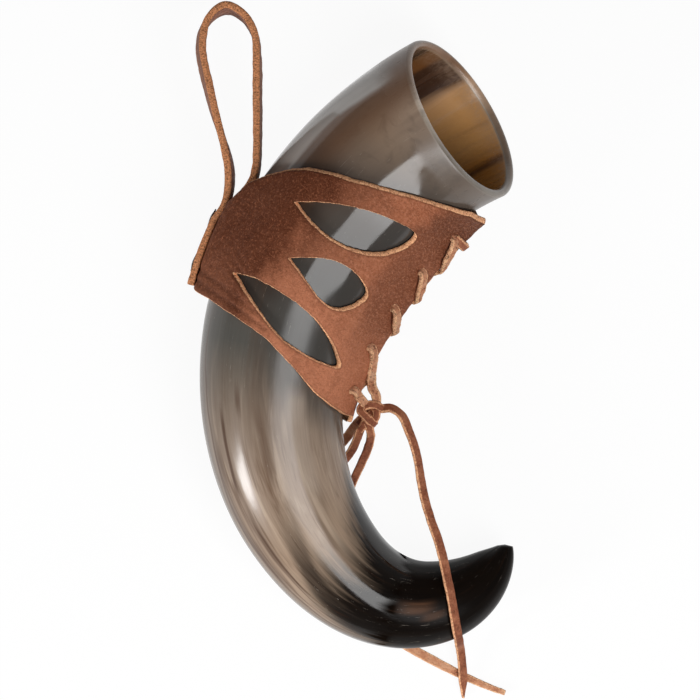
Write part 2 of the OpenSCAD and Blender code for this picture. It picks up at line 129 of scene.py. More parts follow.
BACK_ROUTE = (
    (3.7, -39.5, 27), (1.6, -42, 21), (-0.9, -45.5, 14), (-4.1, -49.5, 8), (-8.5, -53, 4), (-13.1, -57, 2),
    (-16.9, -63, 1.1), (-18.5, -71, 1), (-16.9, -83.5, 1), (-12.7, -97, 1), (-5.9, -110, 1), (3.3, -122, 1),
    (14.1, -131.5, 1), (25.8, -138.7, 1), (34.4, -143.4, 1), (41.2, -147, 1), (48.5, -150.6, 1),
    (57.1, -154.4, 1), (65.7, -157.6, 1),
)

# Routes of the lace from the last two near holes to the knot, and of the knot's own runs
FOURTH_RUN = (
    (9.0, -13.6, 38.6), (8.6, -17.0, 36.4), (8.1, -21.0, 35.4), (8.1, -25.4, 35.2), (9.6, -28.4, 35.4),
    (10.2, -31.6, 34.6), (9.2, -35.0, 32.6),
)
FIFTH_RUN = (2.6, -29.4, 38.0), (4.6, -31.8, 37.0), (6.6, -34.6, 34.4)
KNOT_RUNS = (
    ((3.4, -36.0, 32.0), (4.4, -34.4, 34.6), (6.6, -33.2, 36.2), (9.6, -33.2, 36.2), (13.0, -34.9, 35.2)),
    ((6.2, -33.0, 33.2), (4.0, -34.0, 35.4), (3.8, -36.0, 36.6), (6.0, -38.4, 37.0), (8.4, -40.6, 35.4),
     (9.4, -41.4, 32.4)),
    ((9.4, -34.2, 34.0), (10.2, -36.4, 35.2), (9.6, -39.0, 34.6), (7.8, -40.8, 33.2)),
    ((8.6, -36.4, 33.0), (6.6, -39.2, 34.0), (4.8, -41.8, 32.8), (3.2, -43.8, 30.4)),
    ((5.0, -38.6, 33.0), (6.6, -41.4, 33.4), (7.6, -44.4, 30.8), (7.9, -46.4, 28.4)),
    ((8.4, -35.0, 30.0), (6.0, -37.6, 29.0), (4.2, -39.6, 27.6), (3.0, -40.8, 25.4)),
)


# Shapes

def share(x, a, b):
    """How far x has gone from a to b, from 0 to 1."""
    return np.clip((np.asarray(x, float) - a) / (b - a), 0, 1)


def smooth(t):
    return t * t * (3 - 2 * t)


def cosd(a):
    return np.cos(np.radians(a))


def sind(a):
    return np.sin(np.radians(a))


def unit(v):
    v = np.asarray(v, float)
    return v / np.maximum(np.linalg.norm(v, axis=-1, keepdims=True), 1e-9)


def curve(points, n):
    """A smooth curve through the points, with n steps between neighbours."""
    p = np.asarray(points, float)
    p = np.concatenate([[2 * p[0] - p[1]], p, [2 * p[-1] - p[-2]]])
    out = []
    for a, b, c, d in zip(p, p[1:], p[2:], p[3:]):
        for t in np.arange(n) / n:
            out.append(
                b + 0.5 * t * (c - a + t * (2 * a - 5 * b + 4 * c - d + t * (3 * (b - c) + d - a)))
            )
    out.append(p[-2])
    return np.array(out)


def run_along(path):
    """Distance of each point of a line from its start, along it."""
    return np.concatenate([[0], np.cumsum(np.linalg.norm(np.diff(path, axis=0), axis=1))])


def spaced(points, step):
    """The line again, with points about step apart."""
    p = np.asarray(points, float)
    run = run_along(p)
    at = np.linspace(0, run[-1], max(2, int(round(run[-1] / step)) + 1))
    return np.stack([np.interp(at, run, p[:, k]) for k in range(p.shape[1])], axis=1)


def fractal(points, scale, octaves=3, seed=0):
    """Smooth noise from about -1 to 1 at each point, with features about scale across."""
    shift = Vector((17.3 * seed, 5.1 * seed, 9.7 * seed))
    return np.array([noise.fractal(Vector(p) / scale + shift, 1.0, 2.0, octaves) for p in np.asarray(points)])


AXIS_N = 240
STATIONS = np.linspace(0, HORN_LEN, AXIS_N + 1)


def bend_at(u):
    """The axis's bend in degrees a millimetre, at a share of its length."""
    t = smooth(share(u, TIGHTEN_FROM, TIGHTEN_TO))
    early = BEND_MOUTH + (BEND_MIDDLE - BEND_MOUTH) * np.minimum(1, u / TIGHTEN_FROM)
    return early * (1 - t) + BEND_TAIL * t


def axis_tables():
    """Headings and places of the horn's axis at the stations."""
    step = HORN_LEN / AXIS_N
    i = np.arange(AXIS_N)
    headings = MOUTH_HEADING + np.concatenate([[0], np.cumsum(step * bend_at((i + 0.5) / AXIS_N))])
    way = headings[:-1] + 0.5 * step * bend_at(i / AXIS_N)
    places = np.cumsum(step * np.stack([cosd(way), sind(way)], axis=1), axis=0)
    return headings, MOUTH_AT + np.concatenate([[[0, 0]], places])


HEADINGS, PLACES = axis_tables()


def three(a, b, c, v):
    """The parabola through a, b and c at 0, a half and 1."""
    return a * (1 - v) * (1 - 2 * v) + 4 * b * v * (1 - v) + c * v * (2 * v - 1)


def body_r(s):
    """The horn's radius at s along its axis, without the rounding of its tip."""
    u = s / HORN_LEN
    a, b, c = MOUTH_D / 2, MIDDLE_D / 2, TAIL_D / 2
    return a * (u - 0.5) * (u - 0.75) / 0.375 - b * u * (u - 0.75) / 0.125 + c * u * (u - 0.5) / 0.1875


def girth(s):
    return body_r(s) * (1 - share(s, HORN_LEN - TIP_LEN, HORN_LEN) ** 2) ** TIP_POWER


def bore_r(s):
    wall = RIM_WALL + (DEEP_WALL - RIM_WALL) * (s / BORE_LEN) ** 2
    return (body_r(s) - wall) * np.sqrt(1 - share(s, BORE_LEN - BORE_ROUND, BORE_LEN) ** 2)


def ease(s, length):
    return np.maximum(0, 1 - s / length) ** 2


def centre(s):
    s = np.asarray(s, float)
    z = body_r(s) + RIDE + MOUTH_RISE * ease(s, RISE_LEN)
    return np.stack([np.interp(s, STATIONS, PLACES[:, 0]), np.interp(s, STATIONS, PLACES[:, 1]), z], axis=-1)


def ring_heading(s):
    return np.interp(s, STATIONS, HEADINGS) + CUT_TURN * ease(s, CUT_LEN)


def in_dir(s):
    h = ring_heading(np.asarray(s, float))
    return np.stack([-sind(h), cosd(h), 0 * h], axis=-1)


def up_dir(s):
    s = np.asarray(s, float)
    h = ring_heading(s)
    rise = np.degrees(np.arctan(2 * MOUTH_RISE / RISE_LEN * np.maximum(0, 1 - s / RISE_LEN)))
    lean = rise + CUT_TILT * ease(s, CUT_LEN)
    return np.stack([cosd(h) * sind(lean), sind(h) * sind(lean), cosd(lean)], axis=-1)


def on_ring(s, phi, rho):
    """A point of the ring at s: phi is 0 at the inside of the bend, 90 on top and 180 at the back."""
    s, phi, rho = np.broadcast_arrays(np.asarray(s, float), phi, rho)
    return centre(s) + (rho * cosd(phi))[..., None] * in_dir(s) + (rho * sind(phi))[..., None] * up_dir(s)


def seam_d(s):
    """Distance of the seam's edge from the horn's axis."""
    return body_r(s) + three(*SEAM_OFFS, (s - SEAM_TOP) / (SEAM_BOTTOM - SEAM_TOP))


def wrap_gap(s):
    return HORN_GAP + LIFT_GAP * ease(s, RISE_LEN)


def seam_angle(s):
    """The angle at which the panels that go to the seam leave the horn."""
    return np.degrees(np.arccos(np.minimum(1, (body_r(s) + wrap_gap(s) + WRAP_T) / seam_d(s))))


def panel(s, e, h, side):
    """A point over the sloping panels beside the seam: e from its edge and h above the leather."""
    a = seam_angle(s)
    x = seam_d(s) - e * sind(a) + h * cosd(a)
    z = e * cosd(a) + h * sind(a)
    return centre(s) + x * in_dir(s) + side * z * up_dir(s)


def panel_out(s, side):
    a = seam_angle(s)
    return cosd(a) * in_dir(s) + side * sind(a) * up_dir(s)


def on_back(s, off):
    return on_ring(s, 180, body_r(s) + off)


# Meshes

def surface_normals(verts, faces):
    """Unit normals at the vertices."""
    out = np.zeros_like(verts)
    for n in {len(f) for f in faces}:
        f = np.array([g for g in faces if len(g) == n])
        a, b, c, d = verts[f[:, 0]], verts[f[:, 1]], verts[f[:, 2]], verts[f[:, -1]]
        across = np.cross(c - a, d - b) if n == 4 else np.cross(b - a, c - a)
        for k in range(n):
            np.add.at(out, f[:, k], across)
    return unit(out)


def grid_faces(rows, cols):
    """Quads between rows of cols points each, closed around the rows."""
    turns = [(c, (c + 1) % cols) for c in range(cols)]
    starts = range(0, (rows - 1) * cols, cols)
    return [(a + c, a + d, a + cols + d, a + cols + c) for a in starts for c, d in turns]


def tube_faces(rows, cols):
    """The same, with fans from the first and last rows to the two points that follow the grid's own."""
    turns = [(c, (c + 1) % cols) for c in range(cols)]
    count, last = rows * cols, (rows - 1) * cols
    fans = [(count, d, c) for c, d in turns] + [(count + 1, last + c, last + d) for c, d in turns]
    return grid_faces(rows, cols) + fans


def joined(parts):
    """Several point, face and field sets as one."""
    verts, faces, fields = [], [], {}
    count = 0
    for v, f, d in parts:
        verts.append(v)
        faces += [tuple(i + count for i in g) for g in f]
        for key, value in d.items():
            fields.setdefault(key, []).append(value)
        count += len(v)
    return np.concatenate(verts), faces, {key: np.concatenate(value) for key, value in fields.items()}


def linked(name, data):
    """An object of the scene."""
    obj = bpy.data.objects.new(name, data)
    bpy.context.scene.collection.objects.link(obj)
    return obj


def make_piece(name, verts, faces, fields, materials, which=None):
    """A mesh piece from points in millimetres, with its named fields for the materials."""
    mesh = bpy.data.meshes.new(name)
    mesh.from_pydata((np.asarray(verts) * MM).tolist(), [], faces)
    for label, values in fields.items():
        values = np.asarray(values, np.float32)
        flat = values.ndim == 1
        field = mesh.attributes.new(label, "FLOAT" if flat else "FLOAT_VECTOR", "POINT")
        field.data.foreach_set("value" if flat else "vector", values.ravel())
    mesh.polygons.foreach_set("use_smooth", [True] * len(mesh.polygons))
    for material in materials:
        mesh.materials.append(material)
    if which is not None:
        mesh.polygons.foreach_set("material_index", which)
    mesh.update()
    obj = linked(name, mesh)
    return obj


# Materials

def shown(r, g, b):
    """A colour as a screen shows it, from 0 to 255, as the shaders take it."""
    c = np.array([r, g, b]) / 255
    return (*np.where(c <= 0.04045, c / 12.92, ((c + 0.055) / 1.055) ** 2.4).tolist(), 1)


def scaled(colour, by):
    """A darker or paler colour, from 0 to 255."""
    return tuple(min(255, int(by * c)) for c in colour)


class Shader:
    """Nodes of a material or of the world, put together by calls which return sockets."""

    def __init__(self, name, world=False):
        self.owner = (bpy.data.worlds if world else bpy.data.materials).new(name)
        self.owner.use_nodes = True
        self.tree = self.owner.node_tree
        self.tree.nodes.clear()
        self.output = "ShaderNodeOutputWorld" if world else "ShaderNodeOutputMaterial"
        self.base = None

    def node(self, kind, inputs, out=0, **settings):
        made = self.tree.nodes.new("ShaderNode" + kind)
        for key, value in settings.items():
            setattr(made, key, value)
        for key, value in inputs.items():
            if isinstance(value, bpy.types.NodeSocket):
                self.tree.links.new(value, made.inputs[key])
            else:
                made.inputs[key].default_value = value
        return made.outputs[out]

    def field(self, label):
        return self.node("Attribute", {}, "Fac", attribute_name=label)

    def place(self, scale=(1, 1, 1), turn=0.0):
        vector = self.node("Attribute", {}, "Vector", attribute_name="grain")
        if turn:
            vector = self.node("Mapping", {"Vector": vector, "Rotation": (0, 0, turn)})
        return self.node("Mapping", {"Vector": vector, "Scale": scale})

    def noise(self, vector, scale, detail=3, rough=0.5, bend=0.0):
        inputs = {"Vector": vector, "Scale": scale, "Detail": detail, "Roughness": rough, "Distortion": bend}
        return self.node("TexNoise", inputs)

    def grain(self, scale, detail=3, rough=0.5, bend=0.0, turn=0.0):
        """Noise with a scale of its own in each direction of the grain."""
        return self.noise(self.place(scale, turn), 1.0, detail, rough, bend)

    def step(self, value, low, high, to_low=0.0, to_high=1.0):
        inputs = {"Value": value, "From Min": low, "From Max": high, "To Min": to_low, "To Max": to_high}
        return self.node("MapRange", inputs, interpolation_type="SMOOTHSTEP")

    def calc(self, what, value, *others):
        for other in others:
            value = self.node("Math", {0: value, 1: other}, operation=what)
        return value

    def plus(self, *values):
        return self.calc("ADD", *values)

    def minus(self, a, b):
        return self.calc("SUBTRACT", a, b)

    def times(self, *values):
        return self.calc("MULTIPLY", *values)

    def apart(self, a, b):
        """How far apart two values are."""
        return self.node("Math", {0: self.minus(a, b)}, operation="ABSOLUTE")

    def mix(self, amount, a, b):
        return self.node("Mix", {0: amount, 6: a, 7: b}, 2, data_type="RGBA")

    def lay(self, colour, *amounts):
        """Lays a socket's colour, or one from 0 to 255, over the base by the product of the amounts."""
        colour = colour if isinstance(colour, bpy.types.NodeSocket) else shown(*colour)
        self.base = self.mix(self.times(*amounts), self.base, colour)

    def ramp(self, value, stops):
        made = self.tree.nodes.new("ShaderNodeValToRGB")
        points = made.color_ramp.elements
        for _ in stops[2:]:
            points.new(0.5)
        for point, (at, _) in zip(points, stops):
            point.position = at
        for point, (_, colour) in zip(points, stops):
            point.color = colour
        self.tree.links.new(value, made.inputs[0])
        return made.outputs[0]

    def bump(self, height, strength, distance):
        return self.node("Bump", {"Height": height, "Strength": strength, "Distance": distance})

    def show(self, surface):
        out = self.tree.nodes.new(self.output)
        self.tree.links.new(surface, out.inputs["Surface"])

    def finish(self, **inputs):
        named = {key.replace("_", " ").title().replace("Ior", "IOR"): value for key, value in inputs.items()}
        self.show(self.node("BsdfPrincipled", {"Base Color": self.base, **named}))
        return self.owner


# Dark streaks along the horn: angle, half width, start, stop and strength
HORN_STREAKS = (
    (0.75, 0.016, 148, 190, 0.85), (0.65, 0.02, 140, 160, 0.6), (0.555, 0.03, 150, 190, 0.35),
    (0.745, 0.01, 190, 232, 0.8), (0.845, 0.012, 120, 250, 0.6), (0.42, 0.02, 196, 226, 0.4),
    (0.825, 0.045, 160, 225, 0.5), (0.75, 0.035, 182, 220, 0.45),
)

# Where the black of the tail starts: angle, and share of the horn's length
TAIL_BORDER = (
    (0.1, 0.62), (0.22, 0.68), (0.3, 0.714), (0.36, 0.737), (0.42, 0.742), (0.52, 0.724), (0.62, 0.73),
    (0.75, 0.752), (0.84, 0.79),
)


def horn_outside():
    """Polished horn: grey brown at the mouth, streaked tan below, black at the tail."""
    m = Shader("polished_horn")
    along = m.field("along")
    sway = m.grain((0.03, 0.03, 0.02), 2)
    turn = m.plus(m.field("turn"), m.step(sway, 0.2, 0.8, -0.02, 0.02))
    broad = m.grain((0.07, 0.07, 0.011), 3, 0.55, 0.6)
    cloud = m.grain((0.13, 0.13, 0.09), 4, 0.6, 0.8)
    streak = m.grain((0.2, 0.2, 0.022), 4, 0.55, 0.9)
    thread = m.grain((0.55, 0.55, 0.028), 3, 0.55, 0.6)
    fibre = m.grain((1.6, 1.6, 0.05), 3, 0.6)
    scratch = m.grain((3.2, 3.2, 0.12), 2, 0.5, 1.5)

    def down(*marks):
        """A share that changes between two distances from the mouth."""
        return m.step(along, *marks)

    def around(*marks):
        """A share that changes between two angles: 0 is the inside of the bend and 1 its back."""
        return m.step(turn, *marks)

    def band(at, half, start, stop, fade=12):
        """A streak along the horn: its angle and half width, and where it starts and stops."""
        across = m.step(m.apart(turn, at), half, half * 0.25)
        return m.times(across, down(start, start + fade), down(stop, stop - fade))

    # From the rim to below the wrap. At the mouth the rim is worn horn, painted paler to light its shaded
    # lower side, and the pale line at its crest is a painted highlight
    m.base = m.ramp(m.calc("DIVIDE", along, 210.0), [
        (0.0, shown(205, 169, 138)), (0.0008, shown(205, 169, 138)), (0.0026, shown(230, 215, 197)),
        (0.0062, shown(222, 205, 187)), (0.0105, shown(168, 144, 124)), (0.14, shown(147, 124, 104)),
        (0.26, shown(102, 88, 78)), (0.45, shown(82, 79, 75)), (0.61, shown(82, 80, 75)),
        (0.74, shown(128, 112, 98)), (0.88, shown(148, 128, 111)), (1.0, shown(157, 135, 115)),
    ])

    # The upper half: stains, a dark back and inside, painted shade of the wrap over darker horn, and a pale
    # strip beside the strap that is a painted reflection of the floor
    m.lay((92, 76, 64), m.step(cloud, 0.48, 0.68, 0, 0.3), down(90, 40))
    m.lay((104, 71, 48), around(0.56, 0.7), down(105, 45, 0, 0.8))
    m.lay((66, 60, 55), around(0.46, 0.24, 0, 0.85), down(12, 44, 0.2, 1), down(140, 95))
    # Painted shadow of the wrap on the horn's upper back from 44 to 124 mm, over darker horn
    m.lay((46, 34, 27), band(0.64, 0.17, 44, 124, 20), 0.78)
    # Painted reflection of the pale floor: a pale strip along the horn's back edge beside the strap
    m.lay((200, 196, 191), around(0.752, 0.78), down(6, 20), down(88, 50, 0, 0.8))
    m.lay((84, 64, 50), m.step(broad, 0.5, 0.7, 0, 0.4))

    # The streaked stretch below the wrap
    below = down(120, 185)
    m.lay((188, 168, 148), m.step(streak, 0.5, 0.7, 0, 0.5), below)
    m.lay((92, 68, 50), m.step(streak, 0.46, 0.3, 0, 0.55), below)
    m.lay((88, 62, 42), m.step(thread, 0.52, 0.66, 0, 0.6), down(150, 185), around(0.45, 0.7, 0.35, 1))
    # Painted shadow of the wrap on the horn just below its lower edge, over darker horn there
    wrap_shade_line = m.plus(along, m.times(turn, 60.0))
    m.lay((58, 56, 54), m.step(wrap_shade_line, 187, 165), around(0.68, 0.4, 0, 0.72))
    m.lay((186, 169, 153), band(0.38, 0.06, 140, 200), 0.45)
    m.lay((68, 53, 42), around(0.78, 0.92, 0, 0.55), down(105, 125))
    for at, half, start, stop, amount in HORN_STREAKS:
        m.lay((72, 46, 30), band(at, half, start, stop), amount)
    drift = m.minus(turn, m.times(m.minus(along, 200.0), 0.003))
    m.lay((34, 26, 22), m.step(m.apart(drift, 0.571), 0.085, 0.025, 0, 0.78), down(186, 222))
    m.lay((58, 44, 34), m.step(fibre, 0.35, 0.75, 0, 0.16), down(60, 150, 0.3, 1))

    # The black tail with its ragged border, two amber patches, and scratches
    border = m.ramp(turn, [(at, (far, far, far, 1)) for at, far in TAIL_BORDER])
    past = m.minus(along, m.times(border, HORN_LEN))
    ragged = m.plus(past, m.step(streak, 0.3, 0.7, -7, 7))
    dark = m.ramp(streak, [(0.35, shown(13, 9, 7)), (0.62, shown(18, 12, 8)), (0.82, shown(58, 36, 23))])
    m.lay(dark, m.step(ragged, -20, 14))
    amber = m.times(band(0.5, 0.07, 255, 276, 9), m.step(streak, 0.35, 0.55, 0.25, 0.6))
    m.lay((96, 64, 42), m.plus(amber, m.times(band(0.578, 0.04, 265, 279, 6), 0.4)))
    m.lay((206, 196, 182), m.step(scratch, 0.72, 0.76), down(215, 235, 0.25, 0.5))

    # Polish, which is duller in the middle and worn off at the tip
    dull = m.times(down(94, 120), down(240, 222), 0.13)
    worn = m.step(m.plus(along, m.step(broad, 0.3, 0.7, -6, 6)), 250, 259)
    rough = m.step(m.grain((0.5, 0.5, 0.1), 4), 0.3, 0.75, 0.07, 0.13)
    rough = m.plus(rough, dull, m.times(worn, 0.22), down(21, 13, 0, 0.2))
    polish = m.times(down(45, 70), down(262, 250))
    shine = m.minus(m.step(polish, 0, 1, 0.56, 0.38), m.times(worn, 0.48))
    height = m.plus(m.times(fibre, 0.5), m.times(scratch, 0.25))
    return m.finish(roughness=rough, ior=1.45, specular_ior_level=shine, normal=m.bump(height, 0.05, 0.0004))


def horn_inside():
    """The bore: amber horn with dark bands along its length."""
    m = Shader("horn_bore")
    along = m.field("along")
    sway = m.grain((0.1, 0.1, 0.01))
    turn = m.plus(m.field("turn"), m.step(sway, 0.2, 0.8, -0.03, 0.03))
    fibre = m.grain((0.3, 0.3, 0.03))
    scratch = m.grain((2.6, 2.6, 0.5), 2, 0.5, 2.5)
    chafe = m.grain((0.45, 0.45, 0.4), 4, 0.6, 1.5)
    amber, deep, dark = shown(180, 132, 80), shown(164, 110, 50), shown(58, 37, 25)
    m.base = m.ramp(turn, [
        (0.0, deep), (0.24, deep), (0.27, shown(88, 52, 23)), (0.305, deep), (0.4, amber), (0.63, amber),
        (0.66, dark), (0.785, dark), (0.82, shown(100, 63, 34)), (0.855, shown(94, 59, 31)),
        (0.885, shown(40, 27, 18)),
    ])
    m.lay((96, 62, 34), m.step(fibre, 0.45, 0.75, 0, 0.3))
    m.lay((176, 152, 128), m.step(along, 2.6, 1.8, 0, 0.5))
    m.lay((40, 26, 16), m.step(along, 60, 160, 0, 0.85))
    m.lay((204, 186, 166), m.step(scratch, 0.67, 0.72, 0, 0.45), m.step(along, 13, 4))
    m.lay((150, 124, 104), m.step(chafe, 0.35, 0.65, 0.1, 0.4), m.step(along, 9, 3))
    rough = m.step(fibre, 0.3, 0.7, 0.2, 0.34)
    return m.finish(roughness=rough, ior=1.5, normal=m.bump(scratch, 0.05, 0.0004))


def wrap_tones(m, place, broad, stain_and_shade):
    """Tones of the wrap: dark at the back, partly oil stain and partly painted shade; painted shade on the
    panels beside the seam; paler on crown and lower strip, partly wear and partly painted light.
    """
    across = m.node("SeparateXYZ", {0: place})
    down = m.node("SeparateXYZ", {0: place}, 1)
    reach = m.plus(m.apart(across, 180 * FLAT), m.step(broad, 0.3, 0.7, -9, 9))
    # Dark at the back: partly oil stain, partly painted shade
    m.lay((66, 25, 3), m.step(reach, 74, 36, 0, stain_and_shade))
    # Paler on the crown and towards the lower strip: partly wear, partly painted light
    foot = m.times(m.step(reach, 42, 25), m.step(down, 92, 112, 0, 0.2))
    crown = m.times(m.step(reach, 40, 56), m.step(reach, 112, 86, 0.5, 1), m.step(down, 40, 145, 0.22, 0.72))
    m.lay((200, 128, 94), m.calc("MAXIMUM", foot, crown))
    # Painted shade on the panels that slope away beside the seam, stronger towards the top
    m.lay((86, 45, 26), m.step(reach, 80, 92), m.step(down, 135, 95), m.step(down, 60, 30, 0.55, 0.92))
    mottle = m.noise(place, 0.16, 4, 0.6, 0.4)
    m.lay((96, 50, 28), m.step(mottle, 0.45, 0.72, 0, 0.32))
    nap = m.noise(place, 0.8, 4, 0.75)
    tone = m.mix(m.step(nap, 0.46, 0.54), shown(96, 46, 26), shown(226, 160, 126))
    m.lay(tone, m.apart(nap, 0.5), m.step(reach, 44, 70, 0.3, 1.5))
    # Painted shade in the pressed lines and folds, darker by their depth
    m.lay((64, 32, 18), m.field("crease"), 0.55)


def leather(name, deep, mid, pale, cut, patch, nap, stain_and_shade=0.0, pitted=0.0):
    """Dry leather with a nap; cut edges, where the field raw is high, show the paler inside of the hide."""
    m = Shader(name)
    raw = m.field("raw")
    place = m.place()
    broad = m.noise(place, patch, 4, 0.6, 0.5)
    fine = m.noise(place, 0.55, 5, 0.7)
    speck = m.noise(place, 1.25, 4, 0.75)
    grit = m.noise(place, 0.8, 4, 0.75)
    hair = m.grain((1.5, 1.5, 1.0), 5, 0.8)
    pits = m.node("TexVoronoi", {"Vector": place, "Scale": 1.5}, "Distance")
    m.base = m.ramp(broad, [(0.32, shown(*deep)), (0.5, shown(*mid)), (0.7, shown(*pale))])
    m.lay(deep, m.step(fine, 0.45, 0.68, 0, 0.3))
    if stain_and_shade:
        wrap_tones(m, place, broad, stain_and_shade)
    m.lay(pale, m.step(speck, 0.52, 0.66, 0, 0.45))
    m.lay(scaled(deep, 0.7), m.step(speck, 0.48, 0.34, 0, 0.42))
    for turn, shape in ((0.5, (2.4, 0.15, 1.0)), (-0.8, (2.8, 0.16, 1.0)), (1.7, (2.2, 0.13, 1.0))):
        hairline = m.grain(shape, 3, 0.55, 0.5, turn)
        m.lay(pale, m.step(hairline, 0.635, 0.72, 0, 0.34))
    m.lay(scaled(deep, 0.62), m.step(raw, 0.08, 0.3), m.step(raw, 0.7, 0.4), 0.35)
    inside = m.ramp(hair, [
        (0.36, shown(*scaled(cut, 0.5))), (0.48, shown(*cut)), (0.6, shown(*scaled(cut, 1.22))),
    ])
    worn = m.plus(raw, m.times(m.minus(hair, 0.5), 0.8))
    m.lay(inside, m.step(worn, 0.42, 0.66))
    if pitted:
        m.lay(scaled(deep, 0.45), m.step(grit, 0.47, 0.36, 0, pitted))
    height = m.plus(
        m.times(fine, 0.9), m.times(speck, 0.5), m.times(pits, 0.3), m.times(grit, 1.6 * pitted),
        m.times(hair, raw, 1.6),
    )
    return m.finish(
        roughness=m.step(fine, 0.3, 0.7, 0.56, 0.78), specular_ior_level=0.16,
        normal=m.bump(height, 0.6 * nap, 0.0007),
    )


def rivet_metal():
    """Darkened iron with worn spots."""
    m = Shader("dark_rivet")
    spots = m.noise(m.place(), 0.9, 4, 0.6)
    m.base = m.ramp(spots, [(0.35, shown(34, 29, 26)), (0.55, shown(58, 48, 42)), (0.75, shown(112, 88, 66))])
    rough = m.step(spots, 0.3, 0.7, 0.55, 0.35)
    return m.finish(metallic=0.85, roughness=rough, normal=m.bump(spots, 0.3, 0.0005))


HORN_OUT, HORN_IN = horn_outside(), horn_inside()
WRAP_LEATHER = leather(
    "wrap_leather", (102, 53, 28), (141, 80, 52), (178, 111, 80), (236, 166, 124), 0.02, 1.0, stain_and_shade=0.74,
)
STRAP_LEATHER = leather(
    "strap_leather", (124, 78, 58), (160, 106, 82), (196, 142, 112), (194, 131, 90), 0.09, 1.2, pitted=0.4,
)
LACE_LEATHER = leather(
    "lace_leather", (132, 73, 51), (172, 103, 74), (206, 136, 100), (230, 164, 124), 0.12, 1.1, pitted=0.5,
)
LACE_FLESH = leather(
    "lace_flesh", (196, 126, 92), (234, 164, 124), (250, 200, 164), (240, 176, 136), 0.2, 1.4, pitted=0.85,
)
LACE_TAIL = leather(
    "lace_tail", (196, 126, 92), (228, 160, 120), (246, 194, 156), (238, 174, 134), 0.2, 1.2, pitted=0.12,
)
RIVET_METAL = rivet_metal()


# Strips of leather

def strip_section(columns=6, corner=35):
    """Points round a strip's section, grain side first.

    A row has the share of the half width and of the corner's radius, the same two for the thickness, and
    how far the inside of the hide shows."""
    rows = []
    for side, raw in ((1, 0.0), (-1, 0.38)):
        for k in range(columns + 1):
            rows.append((side * (1 - 2 * k / columns), 0, side, side, raw if 0 < k < columns else 0.42))
        rows.append((-side, -side * sind(corner), side, side * cosd(corner), 0.8))
        rows += [(-side, -side, level, 0, 1) for level in (side, 0, -side)]
        rows.append((-side, -side * sind(corner), -side, -side * cosd(corner), 0.8))
    return np.array(rows, float)


SECTION = strip_section()


def strip(path, across, width, thick, corner, wear, seed, pale=0, cut_ends=(1, 1)):
    """A strip along path, whose width lies along across: points, faces and fields. Its edges are worn.

    One edge is darker where pale names the other, 1 or -1; an end that runs on into another isn't cut."""
    path, across = np.asarray(path, float), unit(across)
    n, k = len(path), len(SECTION)
    width, thick = np.broadcast_to(width, n).astype(float), np.broadcast_to(thick, n).astype(float)
    tangent = unit(np.gradient(path, axis=0))
    across = unit(across - (across * tangent).sum(1)[:, None] * tangent)
    face = np.cross(tangent, across)
    ax, cx, ay, cy, raw = SECTION.T
    raw = np.where(ax * pale < -0.9, 0.45 * raw, raw)
    radius = np.minimum(corner, np.minimum(width, thick) * 0.45)[:, None]
    x = ax * (width[:, None] / 2 - radius) + cx * radius
    y = ay * (thick[:, None] / 2 - radius) + cy * radius
    verts = path[:, None] + x[..., None] * across[:, None] + y[..., None] * face[:, None]
    run = run_along(path)
    grain = np.stack([x, np.broadcast_to(run[:, None], x.shape), y], axis=-1)
    ends = [path[0] - END_BULGE * tangent[0], path[-1] + END_BULGE * tangent[-1]]
    verts = np.concatenate([verts.reshape(-1, 3), ends])
    grain = np.concatenate([grain.reshape(-1, 3), [[0, -END_BULGE, 0], [0, run[-1] + END_BULGE, 0]]])
    raw = np.concatenate([np.tile(raw, n), cut_ends])
    for ring, cut in zip((slice(0, k), slice((n - 1) * k, n * k)), cut_ends):
        raw[ring] = np.maximum(raw[ring], 0.7 * cut)
    faces = tube_faces(n, k)
    grain = grain + 40.0 * seed
    lump = fractal(grain, 2.2, 3) * (0.35 + 0.65 * raw) + 0.7 * fractal(grain, 7.0, 2, 3)
    verts = verts + surface_normals(verts, faces) * (wear * lump)[:, None]
    return verts, faces, {"raw": raw, "grain": grain}


# Camera, straight above the middle of the photograph

camera = linked("camera", bpy.data.cameras.new("camera"))
camera.location = (-0.93 * MM, -10.21 * MM, 1.4)
camera.data.sensor_width = 36
camera.data.lens = 167.39
bpy.context.scene.camera = camera


# Free ends of the lace and its half bow

def lace_cord(name, route, node, taper, seed, far_end, tilt, material, pale=0, broad=LACE_W):
    """A free run of lace along its route, as a flat strip; taper and tilt go from its start to its end."""
    path = spaced(curve(route, 8), 0.9)
    tangent = np.gradient(path, axis=0)
    flat = unit(np.cross(tangent, UP))
    up = np.cross(flat, unit(tangent))
    u = np.linspace(0, 1, len(path))
    lean = np.interp(u, *tilt)
    across = cosd(lean)[:, None] * flat + sind(lean)[:, None] * up
    width = broad * np.interp(u, *taper)
    cut_ends = (0, 1) if far_end == "bare" else (0, 0)
    verts, faces, fields = strip(path, across, width, LACE_T, 0.6, 0.14, seed, pale, cut_ends)
    obj = make_piece(name, verts, faces, fields, [material])
    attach(obj, "holder")
    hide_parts(node)


lace_cord("lace_bow", BOW_ROUTE, "bow_loop", EVEN, 2, "object", ((0, 1), (14, -14)), LACE_LEATHER, 1)
lace_cord(
    "lace_front", FRONT_ROUTE, "lace_end_front", ((0, 0.95, 1), (1, 1, 0.25)), 3, "bare",
    ((0, 0.25, 0.42, 1), (32, 32, 18, 18)), LACE_LEATHER, 1, 3.9,
)
lace_cord(
    "lace_back", BACK_ROUTE, "lace_end_back", ((0, 0.82, 1), (1, 1, 0.6)), 4, "bare", ((0, 1), (0, 0)),
    LACE_TAIL, 0, 4.0,
)


# Horn

